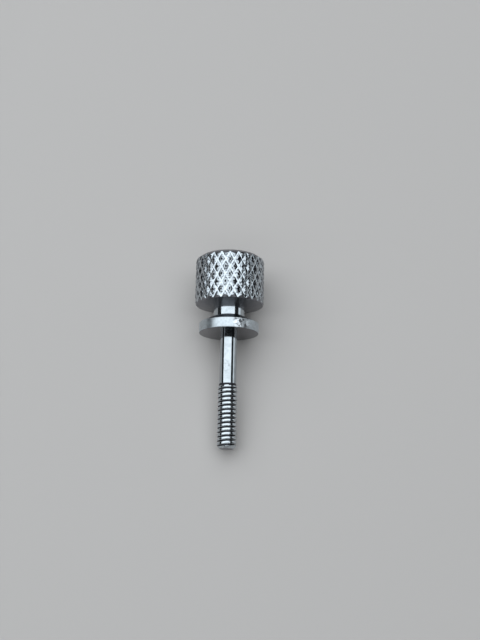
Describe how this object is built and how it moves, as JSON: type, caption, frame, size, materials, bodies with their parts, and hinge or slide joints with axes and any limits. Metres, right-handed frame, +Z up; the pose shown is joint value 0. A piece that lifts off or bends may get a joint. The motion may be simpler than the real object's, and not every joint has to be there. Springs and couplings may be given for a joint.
{
  "type": "clamp screw",
  "caption": "Turned steel clamp screw with a diamond-knurled thumb head, undercut neck, coned collar, slim plain shank and a threaded end.",
  "frame": {"origin": "middle of the collar's clamping face, on the screw's axis", "axes": "+Z up, with the screw lying as it comes to rest; -Y towards the tip, which dips by 7.9 degrees"},
  "size_m": [0.0104, 0.0292, 0.0109],
  "materials": {
    "steel": "bright turned steel, polished on the rim, neck and shank, with a rolled knurl and dull bevels"
  },
  "bodies": {
    "root": {"clamp_screw": "steel"}
  },
  "joints": []
}
